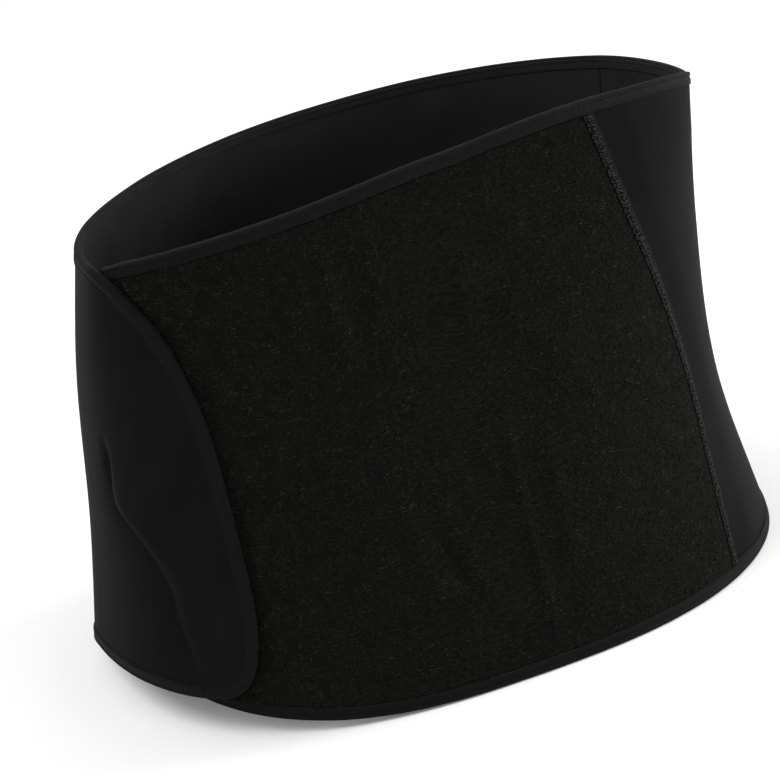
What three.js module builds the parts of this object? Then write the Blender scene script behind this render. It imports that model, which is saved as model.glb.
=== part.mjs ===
// Belly binder: a foam sheet that wraps the waist once and closes at the front left,
// where its curved end lies over the start as a flap.
// Millimetres, +Z up. The front faces -Y and the binder stands on its bottom edge.
// Angles are degrees round the body: 0 right side, 90 back, 180 left side, 270 front.
// The wrap runs from its inner end under the flap, past the front, the right side and
// the back, so the flap's angles are one full turn higher than those of the same place.
import * as THREE from "three";

// Driving dimensions of the body form.
const waistWidth = 285;
const waistDepth = 176;
const bodyHeight = 230;
const frontRise = 20;
const frontPower = 2.57;
const rearPower = 2.13;

// Thickness and width of each material.
const foamThickness = 3.2;
const loopThickness = 1.2;
const tapeThickness = 1.0;
const hookThickness = 1.6;
const bindingWidth = 6;
const stripWidth = 5.5;

// Clearances between pieces that touch.
const pieceGap = 0.3;
const tapeGap = 0.4;
const flapGap = 0.5;

// The wrap's start under the flap: its angle, how far its bottom corner is lifted off the
// ground, and the angle where that lift begins.
const innerEndAngle = 184;
const innerEndLift = 38;
const liftStartAngle = 270;

// The flap: the angle where it begins, the angle from there to its top corner, how far
// its free edge reaches past that corner, and how far its bottom edge is raised.
const flapStartAngle = 528;
const shoulderAngle = 18;
const flapReach = 108;
const flapRaise = 20;
const flapCornerAngle = flapStartAngle + shoulderAngle;

// The flap's bottom edge rises between two angles, before and after flapStartAngle. The
// wrap steps outwards before it passes over its own start, along stepLengthAngle.
const raiseBeforeAngle = 48;
const raiseAfterAngle = 32;
const stepLengthAngle = 54;
const fullTurn = 360;
const stepEndAngle = innerEndAngle + fullTurn;

// The crease across the flap, which fades at its lower end over two widths of binding
// and at its upper end over two shares of the height.
const creaseHeight = 2.0;
const creaseWidth = 11;
const creaseLowFade = { from: 1.75, to: 5.8 };
const creaseTopFade = { from: 0.1, to: 0.06 };

// Share of a dent's depth that is left at its two ends.
const dentEndShare = 0.4;

// Columns and rows of the sheets. The hook patch covers a few of the loop fabric's own.
const rowCount = 18;
const loopColumnCount = 24;
const rightColumnCount = 13;
const backColumnCount = 24;
const hookColumns = { first: 2, last: 5 };
const hookRows = { first: 8, last: 13 };

// Oval sections from the bottom edge to the top edge, over shares of the height. Sideways
// shift and half width are shares of waistWidth; backward shift, front and rear depth are
// shares of waistDepth. A power of 2 makes half of the oval round, and more makes it square.
const sections = [
  { up: 0, side: 0.001, back: 0.215, half: 0.576, front: 0.788, rear: 0.505 },
  { up: 0.35, side: -0.012, back: 0.103, half: 0.527, front: 0.605, rear: 0.578 },
  { up: 0.7, side: -0.009, back: -0.034, half: 0.51, front: 0.436, rear: 0.652 },
  { up: 1, side: 0.0075, back: -0.186, half: 0.4995, front: 0.271, rear: 0.726 },
];

// Rise of the top edge above bodyHeight, as a share of frontRise, once round the body.
const rim = [
  { angle: -40, rise: 0.7 },
  { angle: 0, rise: 0.15 },
  { angle: 45, rise: -0.165 },
  { angle: 90, rise: -0.35 },
  { angle: 135, rise: -0.385 },
  { angle: 180, rise: -0.18 },
  { angle: 215, rise: 0.1 },
  { angle: 250, rise: 0.41 },
  { angle: 285, rise: 0.9 },
  { angle: 320, rise: 0.7 },
  { angle: 360, rise: 0.15 },
  { angle: 405, rise: -0.165 },
];

// Seam where the loop fabric ends, as angles over shares of the height.
const loopSeam = [
  { up: 0, angle: 307.5 },
  { up: 0.2, angle: 312 },
  { up: 0.37, angle: 314.5 },
  { up: 0.54, angle: 311.5 },
  { up: 0.7, angle: 305.8 },
  { up: 0.85, angle: 299.8 },
  { up: 1, angle: 294 },
];

// Seam that joins the front panel and the back panel behind the right side.
const sideSeam = [
  { up: 0, angle: 380 },
  { up: 1, angle: 387.5 },
];

// Free edge of the flap from its bottom corner to its top corner: shares of the flap's
// height, and shares of flapReach past the top corner.
const flapEdge = [
  { up: 0, reach: 0.69 },
  { up: 0.002, reach: 0.79 },
  { up: 0.012, reach: 0.875 },
  { up: 0.04, reach: 0.935 },
  { up: 0.09, reach: 0.978 },
  { up: 0.19, reach: 1 },
  { up: 0.35, reach: 0.975 },
  { up: 0.56, reach: 0.924 },
  { up: 0.655, reach: 0.874 },
  { up: 0.742, reach: 0.793 },
  { up: 0.82, reach: 0.69 },
  { up: 0.878, reach: 0.563 },
  { up: 0.926, reach: 0.42 },
  { up: 0.962, reach: 0.285 },
  { up: 0.984, reach: 0.126 },
  { up: 1, reach: 0 },
];

// Middle line of the flap's crease from the bottom edge to its upper end: shares of the
// flap's height, and degrees past flapStartAngle.
const crease = [
  { up: 0, past: 49.5 },
  { up: 0.08, past: 45.5 },
  { up: 0.18, past: 42 },
  { up: 0.25, past: 40.5 },
  { up: 0.31, past: 36.5 },
  { up: 0.375, past: 29.5 },
  { up: 0.43, past: 23 },
  { up: 0.55, past: 22.5 },
];

// Dents of the front. Each runs from one place to another; its depth is a share of
// foamThickness and its width a share of bindingWidth.
const dents = [
  { angle: 254, up: 0.95, toAngle: 262.5, toUp: 0.7, depth: 0.35, width: 1.5 },
  { angle: 268.5, up: 0.77, toAngle: 278, toUp: 0.5, depth: 0.3, width: 1.6 },
  { angle: 273, up: 0.5, toAngle: 273, toUp: 0.1, depth: 0.4, width: 1.4 },
  { angle: 265.5, up: 0.42, toAngle: 267, toUp: 0.16, depth: 0.3, width: 1.5 },
  { angle: 231, up: 0.52, toAngle: 251, toUp: 0.14, depth: 0.7, width: 3 },
];

// Shares of the way from flapStartAngle to the free edge at which the flap's columns lie.
const flapTurn = [0.1, 0.2, 0.3, 0.4, 0.5, 0.6, 0.7, 0.79, 0.88, 0.95, 1];

// How strongly the places along the free edge crowd towards its two corners.
const edgeCrowding = 0.55;

// Half the angle between the two points that give the direction of the form.
const halfStep = 0.5;

const { clamp, lerp } = THREE.MathUtils;
const radians = Math.PI / 180;
const downwards = new THREE.Vector2(0, -1);
const upwards = new THREE.Vector2(0, 1);

// Millimetres along the wrap for one degree, taken at the waist's half width.
const meanArc = waistWidth * radians / 2;

// Foam's edge behind the fold of the tape, and foam's face below the loop fabric's face.
const sheetInset = tapeThickness + tapeGap;
const underLoop = loopThickness + pieceGap;

// Room between the loop fabric and the flap: it holds the hook patch, and clears the
// tape on the flap's edge and the tape on the edge below it.
const underFlap = Math.max(
  pieceGap + hookThickness + flapGap,
  tapeThickness + tapeGap + pieceGap,
  2 * tapeThickness + 2 * tapeGap - loopThickness,
);
const flapStep = underFlap + foamThickness;

// Eased step from 0 to 1 between two places.
function ease(from, to, place) {
  const share = clamp((place - from) / (to - from), 0, 1);
  return share * share * (3 - 2 * share);
}

// Cubic through the rows of a table; the slope at a row is that between its neighbours.
function lookUp(table, placeName, valueName, place) {
  const last = table.length - 1;
  let row = 0;
  while (row < last - 1 && place >= table[row + 1][placeName]) row += 1;
  const slopeAt = (index) => {
    const before = table[Math.max(index - 1, 0)];
    const after = table[Math.min(index + 1, last)];
    return (after[valueName] - before[valueName]) / (after[placeName] - before[placeName]);
  };
  const span = table[row + 1][placeName] - table[row][placeName];
  const share = (place - table[row][placeName]) / span;
  const rest = 1 - share;
  return (1 + 2 * share) * rest * rest * table[row][valueName]
    + share * rest * rest * span * slopeAt(row)
    + share * share * (3 - 2 * share) * table[row + 1][valueName]
    - share * share * rest * span * slopeAt(row + 1);
}

// Height of the top edge at an angle.
function topEdge(angle) {
  const turned = ((angle % fullTurn) + fullTurn) % fullTurn;
  return bodyHeight + frontRise * lookUp(rim, "angle", "rise", turned);
}

// Height of the bottom edge: the hidden start is lifted and the flap's end is raised.
function bottomEdge(angle) {
  const raiseStartAngle = flapStartAngle - raiseBeforeAngle;
  const raiseEndAngle = flapStartAngle + raiseAfterAngle;
  const lift = Math.max((liftStartAngle - angle) / (liftStartAngle - innerEndAngle), 0);
  return innerEndLift * lift * lift + flapRaise * ease(raiseStartAngle, raiseEndAngle, angle);
}

// Point of one oval section, flat, at an angle and a share of the height.
function ovalPoint(angle, up) {
  const share = (name) => lookUp(sections, "up", name, up);
  const cosine = Math.cos(angle * radians);
  const sine = Math.sin(angle * radians);
  const power = 2 / (sine < 0 ? frontPower : rearPower);
  const depth = share(sine < 0 ? "front" : "rear");
  const across = share("half") * Math.sign(cosine) * Math.abs(cosine) ** power;
  const backwards = depth * Math.sign(sine) * Math.abs(sine) ** power;
  return new THREE.Vector2(
    waistWidth * (share("side") + across),
    waistDepth * (share("back") + backwards),
  );
}

// Point of the body form at an angle and a height, moved outwards level by offset.
function formPoint(angle, height, offset) {
  const up = height / topEdge(angle);
  const along = ovalPoint(angle + halfStep, up).sub(ovalPoint(angle - halfStep, up));
  const outwards = new THREE.Vector2(along.y, -along.x).normalize();
  const point = ovalPoint(angle, up).addScaledVector(outwards, offset);
  return new THREE.Vector3(point.x, point.y, height);
}

// Millimetres along the form for one degree at a place.
function arcPerDegree(angle, height) {
  const before = formPoint(angle - halfStep, height, 0);
  const after = formPoint(angle + halfStep, height, 0);
  return before.distanceTo(after) / (2 * halfStep);
}

// Depth of the front's dents at a place: each fades to its sides and at its two ends.
function dentDepth(angle, height) {
  let depth = 0;
  const up = height / topEdge(angle);
  for (const dent of dents) {
    const along = clamp((up - dent.up) / (dent.toUp - dent.up), 0, 1);
    const sideways = (angle - lerp(dent.angle, dent.toAngle, along)) * meanArc;
    const endways = (up - lerp(dent.up, dent.toUp, along)) * bodyHeight;
    const reach = dent.width * bindingWidth;
    const fade = lerp(dentEndShare, 1, Math.sin(Math.PI * along));
    const fall = Math.exp(-(sideways ** 2 + endways ** 2) / reach ** 2);
    depth += dent.depth * foamThickness * fade * fall;
  }
  return depth;
}

// Height of the flap's crease: a ridge on its upper side and a valley on its lower side,
// highest and deepest one creaseWidth from its middle line.
function creaseRise(angle, height) {
  const up = (height - flapRaise) / (topEdge(angle) - flapRaise);
  const end = crease[crease.length - 1].up;
  const middle = flapStartAngle + lookUp(crease, "up", "past", clamp(up, 0, end));
  const share = (angle - middle) * meanArc / creaseWidth;
  const widthsUp = (height - flapRaise) / bindingWidth;
  const lowFade = ease(creaseLowFade.from, creaseLowFade.to, widthsUp);
  const topFade = 1 - ease(end - creaseTopFade.from, end + creaseTopFade.to, up);
  const sideFade = ease(flapStartAngle, flapCornerAngle, angle);
  return creaseHeight * lowFade * topFade * sideFade * share * Math.exp(0.5 - share * share / 2);
}

// How far the foam's outer face stands off the body form.
function foamFace(angle, height) {
  const seam = lookUp(loopSeam, "up", "angle", height / topEdge(angle));
  const rampStart = seam + (stripWidth + 2 * pieceGap) / meanArc;
  const rampEnd = rampStart + bindingWidth / meanArc;
  const below = underLoop * (1 - ease(rampStart, rampEnd, angle));
  const above = flapStep * ease(stepEndAngle - stepLengthAngle, stepEndAngle, angle);
  return above - below - dentDepth(angle, height) + creaseRise(angle, height);
}

// Point over the foam's outer face; a distance below zero lies inside it.
function wrapPoint(place, over) {
  return formPoint(place.angle, place.height, foamFace(place.angle, place.height) + over);
}

// Heights of one upright column of the foam: its edges, the two lines where the tapes
// end, and even steps between those lines.
function columnHeights(angle) {
  const bottom = bottomEdge(angle);
  const top = topEdge(angle);
  const low = bottom + bindingWidth + tapeGap;
  const high = top - bindingWidth - tapeGap;
  const steps = rowCount - 2;
  const heights = [bottom + sheetInset];
  for (let step = 0; step <= steps; step += 1) heights.push(lerp(low, high, step / steps));
  heights.push(top - sheetInset);
  return heights;
}

// Columns from one line of angles to another; each line is a function of the height.
function columnsBetween(startLine, endLine, count, skipFirst = false) {
  const columns = [];
  const middleHeight = bodyHeight / 2;
  for (let index = skipFirst ? 1 : 0; index <= count; index += 1) {
    const share = index / count;
    const middleAngle = lerp(startLine(middleHeight), endLine(middleHeight), share);
    columns.push(columnHeights(middleAngle).map((height, row) => {
      const angle = lerp(startLine(height), endLine(height), share);
      return { angle, height: columnHeights(angle)[row] };
    }));
  }
  return columns;
}

// An upright line, and a seam's line moved along the wrap by a distance.
function uprightLine(angle) {
  return () => angle;
}
function seamLine(table, distance) {
  return (height) => {
    const up = clamp(height / topEdge(table[0].angle), 0, 1);
    const angle = lookUp(table, "up", "angle", up);
    return angle + distance / arcPerDegree(angle, height);
  };
}

// The flap's free edge as places on the wrap, each with the direction inwards.
function freeEdgePlaces() {
  const points = flapEdge.map((row) => {
    const angle = flapCornerAngle + row.reach * flapReach / meanArc;
    const height = lerp(bottomEdge(angle), topEdge(angle), row.up);
    return new THREE.Vector3(angle * meanArc, height, 0);
  });
  const curve = new THREE.CatmullRomCurve3(points, false, "centripetal");
  const places = [];
  for (let row = 0; row <= rowCount; row += 1) {
    const turn = 2 * Math.PI * row / rowCount;
    const share = (turn - edgeCrowding * Math.sin(turn)) / (2 * Math.PI);
    const point = curve.getPointAt(share);
    const ahead = curve.getTangentAt(share);
    places.push({
      angle: point.x / meanArc,
      height: point.y,
      inwards: new THREE.Vector2(-ahead.y, ahead.x),
    });
  }
  places[0].inwards = upwards;
  return places;
}

// A place moved inwards from an edge by a distance along the sheet.
function moveInwards(place, distance) {
  const perDegree = arcPerDegree(place.angle, place.height);
  return {
    angle: place.angle + distance * place.inwards.x / perDegree,
    height: place.height + distance * place.inwards.y,
  };
}

// Columns of the flap: they turn from upright into the line of the free edge.
function flapColumns(edgePlaces) {
  const edge = edgePlaces.map((place) => moveInwards(place, sheetInset));
  const lowAt = (angle) => bottomEdge(angle) + sheetInset;
  const rangeAt = (angle) => topEdge(angle) - sheetInset - lowAt(angle);
  const upAt = (angle, height) => (height - lowAt(angle)) / rangeAt(angle);
  const startUps = columnHeights(flapStartAngle).map((height) => upAt(flapStartAngle, height));
  const edgeUps = edge.map((place) => upAt(place.angle, place.height));
  return flapTurn.map((share) => edge.map((place, row) => {
    const angle = lerp(flapStartAngle, place.angle, share);
    const up = lerp(startUps[row], edgeUps[row], share);
    return { angle, height: lowAt(angle) + up * rangeAt(angle) };
  }));
}

// Closed body through sections along the wrap. Each section has an outer and an inner
// line with as many points; the two lines together are the section's outline.
function ribbonGeometry(ribs) {
  const positions = [];
  const faces = [];
  const lineLength = ribs[0].outer.length;
  const loopLength = 2 * lineLength;
  const lastRib = ribs.length - 1;
  for (const rib of ribs) {
    const outline = [...rib.outer, ...[...rib.inner].reverse()];
    for (const point of outline) positions.push(point.x, point.y, point.z);
  }
  const corner = (rib, step) => rib * loopLength + (step % loopLength);
  const addQuad = (a, b, c, d) => faces.push(a, b, c, a, c, d);
  for (let rib = 0; rib < lastRib; rib += 1) {
    for (let step = 0; step < loopLength; step += 1) {
      const quad = [
        corner(rib, step),
        corner(rib + 1, step),
        corner(rib + 1, step + 1),
        corner(rib, step + 1),
      ];
      // The inner line runs the other way, so its quads are split the other way too.
      if (step >= lineLength) quad.push(quad.shift());
      addQuad(...quad);
    }
  }
  for (let step = 0; step < lineLength - 1; step += 1) {
    const across = loopLength - 1 - step;
    const end = [step, step + 1, across - 1, across];
    addQuad(...end.map((place) => corner(0, place)));
    addQuad(...end.reverse().map((place) => corner(lastRib, place)));
  }
  const geometry = new THREE.BufferGeometry();
  geometry.setAttribute("position", new THREE.Float32BufferAttribute(positions, 3));
  geometry.setIndex(faces);
  geometry.computeVertexNormals();
  return geometry;
}

// Sheet between two distances over the foam's outer face.
function sheetGeometry(columns, outerOver, innerOver) {
  return ribbonGeometry(columns.map((column) => ({
    outer: column.map((place) => wrapPoint(place, outerOver)),
    inner: column.map((place) => wrapPoint(place, innerOver)),
  })));
}

// Folded tape over an edge of the foam: a U whose two legs lie on the foam's faces, as
// its outline from the end of the first leg round the fold to the end of the second.
function foldedTapeGeometry(places, firstLegOutside) {
  const foldOutside = tapeGap + tapeThickness;
  const overFront = (distance) => distance;
  const overBack = (distance) => -foamThickness - distance;
  const [first, second] = firstLegOutside ? [overFront, overBack] : [overBack, overFront];
  return ribbonGeometry(places.map((place) => {
    const at = (inwards, over) => wrapPoint(moveInwards(place, inwards), over);
    return {
      outer: [
        at(bindingWidth, first(foldOutside)),
        at(0, first(foldOutside)),
        at(0, second(foldOutside)),
        at(bindingWidth, second(foldOutside)),
      ],
      inner: [
        at(bindingWidth, first(tapeGap)),
        at(tapeThickness, first(tapeGap)),
        at(tapeThickness, second(tapeGap)),
        at(bindingWidth, second(tapeGap)),
      ],
    };
  }));
}

// Columns of the front panel: under the loop fabric, under the strip along its seam, and
// from there round the right side, where the foam first ramps up to the body form.
const stripEnd = stripWidth + pieceGap;
const rampEnd = stripEnd + bindingWidth;
const loopColumns = columnsBetween(
  uprightLine(innerEndAngle), seamLine(loopSeam, 0), loopColumnCount,
);
const stripColumns = columnsBetween(
  seamLine(loopSeam, pieceGap), seamLine(loopSeam, stripEnd), 1,
);
const rampColumns = columnsBetween(
  seamLine(loopSeam, stripEnd + pieceGap), seamLine(loopSeam, rampEnd), 1,
);
const rightColumns = columnsBetween(
  seamLine(loopSeam, rampEnd), seamLine(sideSeam, -pieceGap / 2), rightColumnCount, true,
);
const frontColumns = [...loopColumns, ...stripColumns, ...rampColumns, ...rightColumns];

// Columns of the back panel and its flap.
const edgePlaces = freeEdgePlaces();
const backColumns = [
  ...columnsBetween(seamLine(sideSeam, pieceGap / 2), uprightLine(flapStartAngle), backColumnCount),
  ...flapColumns(edgePlaces),
];

// Places along the top or bottom edge at the foam's own columns, whose slant the tape's
// legs follow.
function edgeOf(columns, row, nextRow, edgeHeight, straight) {
  return columns.map((column) => {
    const { angle, height } = column[row];
    const next = column[nextRow];
    const sideways = (next.angle - angle) * arcPerDegree(angle, height);
    const slant = sideways / Math.abs(next.height - height);
    const inwards = new THREE.Vector2(straight.x + slant, straight.y);
    return { angle, height: edgeHeight(angle), inwards };
  });
}

// The same on the flap, where the tape's legs are straight.
function flapEdgeOf(columns, row, edgeHeight, inwards) {
  return columns.map((column) => {
    const { angle } = column[row];
    return { angle, height: edgeHeight(angle), inwards };
  });
}

// The same places with the last one drawn back towards the one before it.
function drawnBack(places, distance) {
  const end = places[places.length - 1];
  const before = places[places.length - 2];
  const sideways = (end.angle - before.angle) * arcPerDegree(end.angle, end.height);
  const share = distance / Math.hypot(sideways, end.height - before.height);
  const drawnEnd = {
    angle: lerp(end.angle, before.angle, share),
    height: lerp(end.height, before.height, share),
    inwards: end.inwards,
  };
  return [...places.slice(0, -1), drawnEnd];
}

// Each tape runs on past the side seam, where it takes one of the two columns there. The
// top one goes on down the flap's free edge and meets the bottom one at the flap's
// bottom corner with the usual gap.
const sheetColumns = [...frontColumns.slice(0, -1), ...backColumns];
const upToFlap = sheetColumns.slice(0, -flapTurn.length);
const onFlap = sheetColumns.slice(-flapTurn.length);
const topPlaces = drawnBack([
  ...edgeOf(upToFlap, rowCount, rowCount - 1, topEdge, downwards),
  ...flapEdgeOf(onFlap.slice(0, -1), rowCount, topEdge, downwards),
  ...[...edgePlaces].reverse(),
], pieceGap / 2);
const bottomPlaces = drawnBack([
  ...edgeOf(upToFlap, 0, 1, bottomEdge, upwards),
  ...flapEdgeOf(onFlap, 0, bottomEdge, upwards),
], pieceGap / 2);

// The loop fabric and its strip fill the rows between the two tapes.
function betweenTapes(columns) {
  return columns.map((column) => column.slice(1, -1));
}

// The hook patch lies on the loop fabric under the flap.
const hookPlaces = loopColumns
  .slice(hookColumns.first, hookColumns.last + 1)
  .map((column) => column.slice(hookRows.first, hookRows.last + 1));
const hookUnder = underLoop + pieceGap;

function cloth(color, roughness) {
  return new THREE.MeshStandardMaterial({ color, roughness, metalness: 0 });
}
const foamCloth = cloth(0x1d1d1e, 0.78);
const loopCloth = cloth(0x121211, 0.95);
const tapeCloth = cloth(0x242425, 0.85);
const threadCloth = cloth(0x1a1a1a, 0.9);
const hookPlastic = cloth(0x101010, 0.6);

const binder = new THREE.Group();
function addPiece(name, geometry, material) {
  const piece = new THREE.Mesh(geometry, material);
  piece.name = name;
  binder.add(piece);
}

addPiece("front_panel", sheetGeometry(frontColumns, 0, -foamThickness), foamCloth);
addPiece("back_panel", sheetGeometry(backColumns, 0, -foamThickness), foamCloth);
addPiece("loop_panel", sheetGeometry(betweenTapes(loopColumns), underLoop, pieceGap), loopCloth);
addPiece("panel_edge_strip", sheetGeometry(betweenTapes(stripColumns), underLoop, pieceGap), threadCloth);
addPiece("top_binding", foldedTapeGeometry(topPlaces, true), tapeCloth);
addPiece("bottom_binding", foldedTapeGeometry(bottomPlaces, false), tapeCloth);
addPiece("hook_patch", sheetGeometry(hookPlaces, hookUnder + hookThickness, hookUnder), hookPlastic);

// The origin is the middle of the footprint, on the surface that the binder stands on.
const extent = new THREE.Box3().setFromObject(binder);
const middle = extent.getCenter(new THREE.Vector3());
binder.position.set(-middle.x, -middle.y, -extent.min.z);
binder.updateMatrixWorld(true);

export default binder;
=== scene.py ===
import bpy
import numpy as np
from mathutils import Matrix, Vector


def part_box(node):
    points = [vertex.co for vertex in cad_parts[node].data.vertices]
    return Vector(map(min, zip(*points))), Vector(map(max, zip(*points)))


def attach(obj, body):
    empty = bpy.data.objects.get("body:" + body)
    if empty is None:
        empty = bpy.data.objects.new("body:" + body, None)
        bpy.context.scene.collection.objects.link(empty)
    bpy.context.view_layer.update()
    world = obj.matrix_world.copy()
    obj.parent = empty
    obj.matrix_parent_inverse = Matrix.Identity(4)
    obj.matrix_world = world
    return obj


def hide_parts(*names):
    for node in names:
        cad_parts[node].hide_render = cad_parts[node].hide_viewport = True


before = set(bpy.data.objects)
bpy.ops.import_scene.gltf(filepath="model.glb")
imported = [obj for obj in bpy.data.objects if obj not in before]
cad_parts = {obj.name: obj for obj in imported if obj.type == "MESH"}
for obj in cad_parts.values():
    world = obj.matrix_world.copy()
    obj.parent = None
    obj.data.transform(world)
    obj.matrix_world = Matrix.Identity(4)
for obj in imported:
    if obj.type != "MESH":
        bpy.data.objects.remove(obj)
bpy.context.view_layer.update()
print("frame loaded")

# Metres throughout; angles in degrees round the body: 0 right side, 90 back, 180 left side, 270 front.
# The wrap starts under the flap at its inner end and runs past the front, the right side and the back,
# so a place on the flap has an angle one full turn higher than the same place under it.
form = {
    "waistWidth": 0.285, "waistDepth": 0.176, "bodyHeight": 0.230, "frontRise": 0.020,
    "frontPower": 2.57, "rearPower": 2.13, "halfStep": 0.5,
    "sections": {  # shares of waistWidth (side, half) and waistDepth (back, front, rear)
        "up": (0, 0.35, 0.7, 1),
        "side": (0.001, -0.012, -0.009, 0.0075),
        "back": (0.215, 0.103, -0.034, -0.186),
        "half": (0.576, 0.527, 0.51, 0.4995),
        "front": (0.788, 0.605, 0.436, 0.271),
        "rear": (0.505, 0.578, 0.652, 0.726),
    },
    "rim": {  # rise of the top edge, shares of frontRise
        "angle": (-40, 0, 45, 90, 135, 180, 215, 250, 285, 320, 360, 405),
        "rise": (0.7, 0.15, -0.165, -0.35, -0.385, -0.18, 0.1, 0.41, 0.9, 0.7, 0.15, -0.165),
    },
}
layers = {
    "foam": 0.0032, "loop": 0.0012, "tape": 0.001, "hook": 0.0016,
    "pieceGap": 0.0003, "tapeGap": 0.0004, "flapGap": 0.0005,
    "bindingWidth": 0.006, "stripWidth": 0.0055,
}
closure = {
    "innerEnd": 184, "innerEndLift": 0.038, "liftStart": 270,
    "flapStart": 528, "flapCorner": 544.8, "flapReach": 0.111, "flapRaise": 0.020,
    "raiseStart": 480, "raiseEnd": 560, "stepStart": 490, "stepEnd": 544, "crowding": 0.55,
    "edge": {  # free edge from its bottom corner up: shares of the flap's height and of flapReach
        "up": (0, 0.002, 0.012, 0.04, 0.09, 0.19, 0.35, 0.56, 0.655, 0.742, 0.82, 0.878, 0.926, 0.962, 0.984, 1),
        "reach": (0.69, 0.79, 0.875, 0.935, 0.978, 1, 0.975, 0.924, 0.874, 0.793, 0.69, 0.563, 0.42, 0.285, 0.126, 0),
    },
}
seams = {
    "loop": {  # where the loop fabric ends
        "up": (0, 0.2, 0.37, 0.54, 0.7, 0.85, 1),
        "angle": (307.5, 312, 314.5, 311.5, 305.8, 299.8, 294),
    },
    "side": {"up": (0, 1), "angle": (380, 387.5)},  # where the two foam panels meet
}
relief = {
    "ridge": 0.0032, "valley": 0.0020, "valleyReach": 0.010, "flankReach": 0.0072, "ridgeReach": 0.024,
    "creaseLow": (0.8, 3.4), "creaseTop": (0.1, 0.06), "foldEnd": 0.4, "waveHeight": 0.0003,
    "crease": {  # degrees past flapStart
        "up": (0, 0.08, 0.18, 0.25, 0.31, 0.375, 0.43, 0.55),
        "past": (49.5, 45.5, 42, 40.5, 36.5, 29.5, 23, 22.5),
    },
    "folds": (  # angle, up, toAngle, toUp, rise and width in metres: dents fall, ridges rise
        (254.0, 0.95, 262.5, 0.70, -0.0011, 0.0090),
        (268.5, 0.77, 278.0, 0.50, -0.0010, 0.0096),
        (273.0, 0.50, 273.0, 0.10, -0.0010, 0.0084),
        (265.5, 0.42, 267.0, 0.16, -0.0010, 0.0090),
        (231.0, 0.52, 251.0, 0.14, -0.0022, 0.0180),
        (273.4, 0.52, 272.4, 0.05, 0.0014, 0.0021),
        (271.9, 0.47, 271.0, 0.09, -0.0005, 0.0026),
        (263.9, 0.45, 268.6, 0.13, 0.0009, 0.0026),
        (262.4, 0.42, 267.1, 0.15, -0.0004, 0.0028),
        (259.0, 0.44, 262.7, 0.18, 0.0007, 0.0030),
        (252.3, 0.97, 256.2, 0.64, 0.0009, 0.0030),
        (259.7, 0.97, 262.9, 0.67, 0.0011, 0.0040),
        (270.7, 0.81, 272.3, 0.60, 0.0009, 0.0030),
        (278.0, 0.65, 288.5, 0.47, 0.0009, 0.0070),
        (278.6, 0.45, 277.2, 0.17, 0.0007, 0.0034),
        (269.0, 0.48, 270.2, 0.34, -0.0010, 0.0018),
        (549.4, 0.61, 550.2, 0.52, -0.0016, 0.0042),
        (351.0, 1.12, 351.0, 0.88, -0.0032, 0.0220),
        (386.0, 1.12, 386.0, 0.88, 0.0020, 0.0300),
    ),
    "waves": (  # whole waves round the body, half waves up, phases and share of waveHeight
        (3, 1.0, 0.4, 0.3, 1.0), (5, 1.6, 2.1, 1.2, 0.7), (8, 2.3, 4.0, 2.6, 0.4), (13, 1.3, 1.1, 0.8, 0.2),
    ),
}
binding = {  # how the tape sits on the foam's edge
    "lift": 0.0006, "pinch": 0.0008, "pinchFrom": 0.002, "pinchTo": 0.0075, "foldReach": 0.0016, "foldPower": 2.4,
    "border": 0.0004, "groove": 0.0007, "grooveReach": 0.0009, "endDrop": 0.0022, "endDropTo": 196,
    "ramp": 0.025,
}
radians = np.pi / 180
meanArc = form["waistWidth"] * radians / 2  # metres along the wrap for one degree
underLoop = layers["loop"] + layers["pieceGap"]
underFlap = layers["pieceGap"] + layers["hook"] + layers["flapGap"]
sheetInset = layers["tape"] + layers["tapeGap"]


def ease(low, high, at):  # eased step: 3 s^2 - 2 s^3 of the share s between low and high
    share = np.clip((at - low) / (high - low), 0, 1)
    return share * share * (3 - 2 * share)


def lookUp(table, placeName, valueName, at):  # cubic through the rows; a row's slope is that between its neighbours
    place = np.array(table[placeName], float)
    value = np.array(table[valueName], float)
    before = np.maximum(np.arange(len(place)) - 1, 0)
    after = np.minimum(np.arange(len(place)) + 1, len(place) - 1)
    slope = (value[after] - value[before]) / (place[after] - place[before])
    row = np.clip(np.searchsorted(place, at, side="right") - 1, 0, len(place) - 2)
    span = place[row + 1] - place[row]
    share = (at - place[row]) / span
    rest = 1 - share
    return ((1 + 2 * share) * rest * rest * value[row] + share * rest * rest * span * slope[row]
            + share * share * (3 - 2 * share) * value[row + 1] - share * share * rest * span * slope[row + 1])


def topEdge(angle):  # body height plus the rim's rise at that angle
    return form["bodyHeight"] + form["frontRise"] * lookUp(form["rim"], "angle", "rise", np.mod(angle, 360))


def topLine(angle):  # the cloth's top line: the top edge, dropped a little where the inner end is tucked in
    return topEdge(angle) - binding["endDrop"] * (1 - ease(closure["innerEnd"], binding["endDropTo"], angle))


def bottomEdge(angle):  # the hidden start is lifted by a square law, the flap's end is raised by an eased step
    lift = np.maximum((closure["liftStart"] - angle) / (closure["liftStart"] - closure["innerEnd"]), 0)
    raised = ease(closure["raiseStart"], closure["raiseEnd"], angle)
    return closure["innerEndLift"] * lift * lift + closure["flapRaise"] * raised


def ovalPoint(angle, up):  # superellipse: width times |cos|^(2/power), depth times |sin|^(2/power), each with its sign
    size = {name: lookUp(form["sections"], "up", name, up) for name in ("side", "back", "half", "front", "rear")}
    cosine, sine = np.cos(angle * radians), np.sin(angle * radians)
    power = 2 / np.where(sine < 0, form["frontPower"], form["rearPower"])
    depth = np.where(sine < 0, size["front"], size["rear"])
    x = form["waistWidth"] * (size["side"] + size["half"] * np.sign(cosine) * np.abs(cosine) ** power)
    y = form["waistDepth"] * (size["back"] + depth * np.sign(sine) * np.abs(sine) ** power)
    return np.stack([x, y], -1)


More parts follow.
